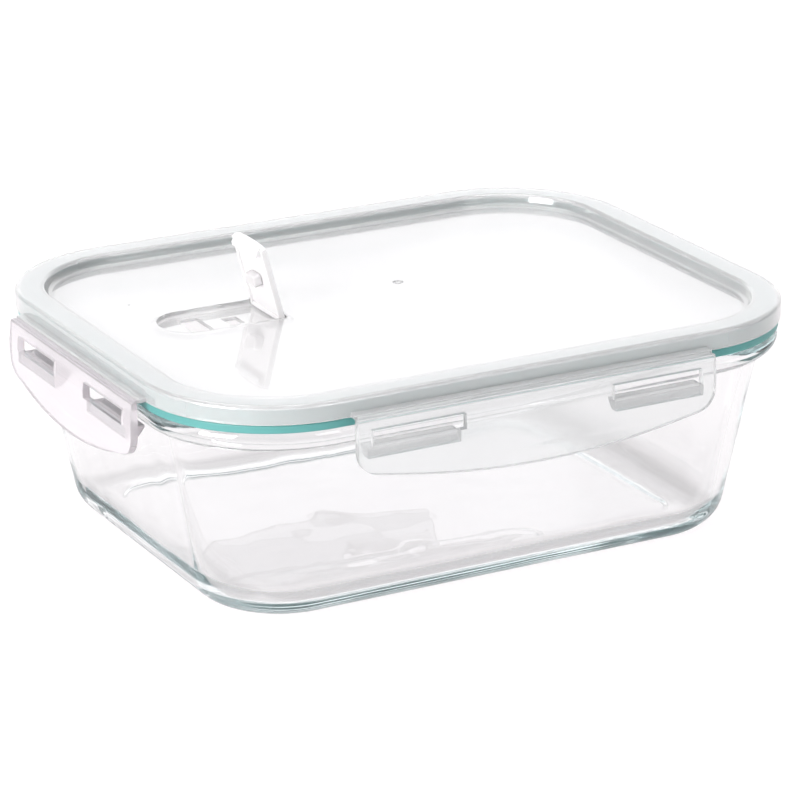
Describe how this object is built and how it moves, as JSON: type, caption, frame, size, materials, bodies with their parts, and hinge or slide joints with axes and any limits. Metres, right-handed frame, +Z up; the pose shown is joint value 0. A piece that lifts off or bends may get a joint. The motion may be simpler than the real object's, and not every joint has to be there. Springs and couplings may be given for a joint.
{
  "type": "lunch box",
  "caption": "Rectangular glass food box with a clear clip-on lid, a teal seal, hinged side latches and a flip-up steam vent.",
  "frame": {"origin": "middle of the underside, on the plane the box stands on", "axes": "+X along the long side, +Y towards the back, +Z up"},
  "size_m": [0.2372, 0.1932, 0.0999],
  "materials": {
    "glass": "polished clear soda-lime or borosilicate glass with a faint green-blue edge tint",
    "lid_plastic": "glossy clear moulded plastic, faintly cool",
    "latch_plastic": "glossy natural clear polypropylene, slightly milky",
    "silicone": "soft teal silicone",
    "clear_silicone": "soft translucent silicone"
  },
  "bodies": {
    "tub": {"glass_tub": "glass"},
    "lid": {"lid": "lid_plastic", "lid_seal": "silicone"},
    "front_latch": {"front_latch": "latch_plastic"},
    "back_latch": {"back_latch": "latch_plastic"},
    "left_latch": {"left_latch": "latch_plastic"},
    "right_latch": {"right_latch": "latch_plastic"},
    "vent": {"vent_strip": "latch_plastic", "vent_stopper": "clear_silicone"}
  },
  "joints": [
    {"name": "lid_lift", "type": "slide", "parent": "tub", "child": "lid", "axis": [0, 0, 1], "range_m": [0, 0.1]},
    {"name": "front_latch_hinge", "type": "hinge", "parent": "lid", "child": "front_latch", "pos_m": [0, -0.0938, 0.0733], "axis": [-1, 0, 0], "range_deg": [0, 135]},
    {"name": "back_latch_hinge", "type": "hinge", "parent": "lid", "child": "back_latch", "pos_m": [0, 0.0938, 0.0733], "axis": [1, 0, 0], "range_deg": [0, 135]},
    {"name": "left_latch_hinge", "type": "hinge", "parent": "lid", "child": "left_latch", "pos_m": [-0.1158, 0, 0.0733], "axis": [0, 1, 0], "range_deg": [0, 135]},
    {"name": "right_latch_hinge", "type": "hinge", "parent": "lid", "child": "right_latch", "pos_m": [0.1158, 0, 0.0733], "axis": [0, -1, 0], "range_deg": [0, 135]},
    {"name": "vent_hinge", "type": "hinge", "parent": "lid", "child": "vent", "pos_m": [-0.0415, 0.0111, 0.0739], "axis": [0, 1, 0], "range_deg": [-75, 25]}
  ]
}
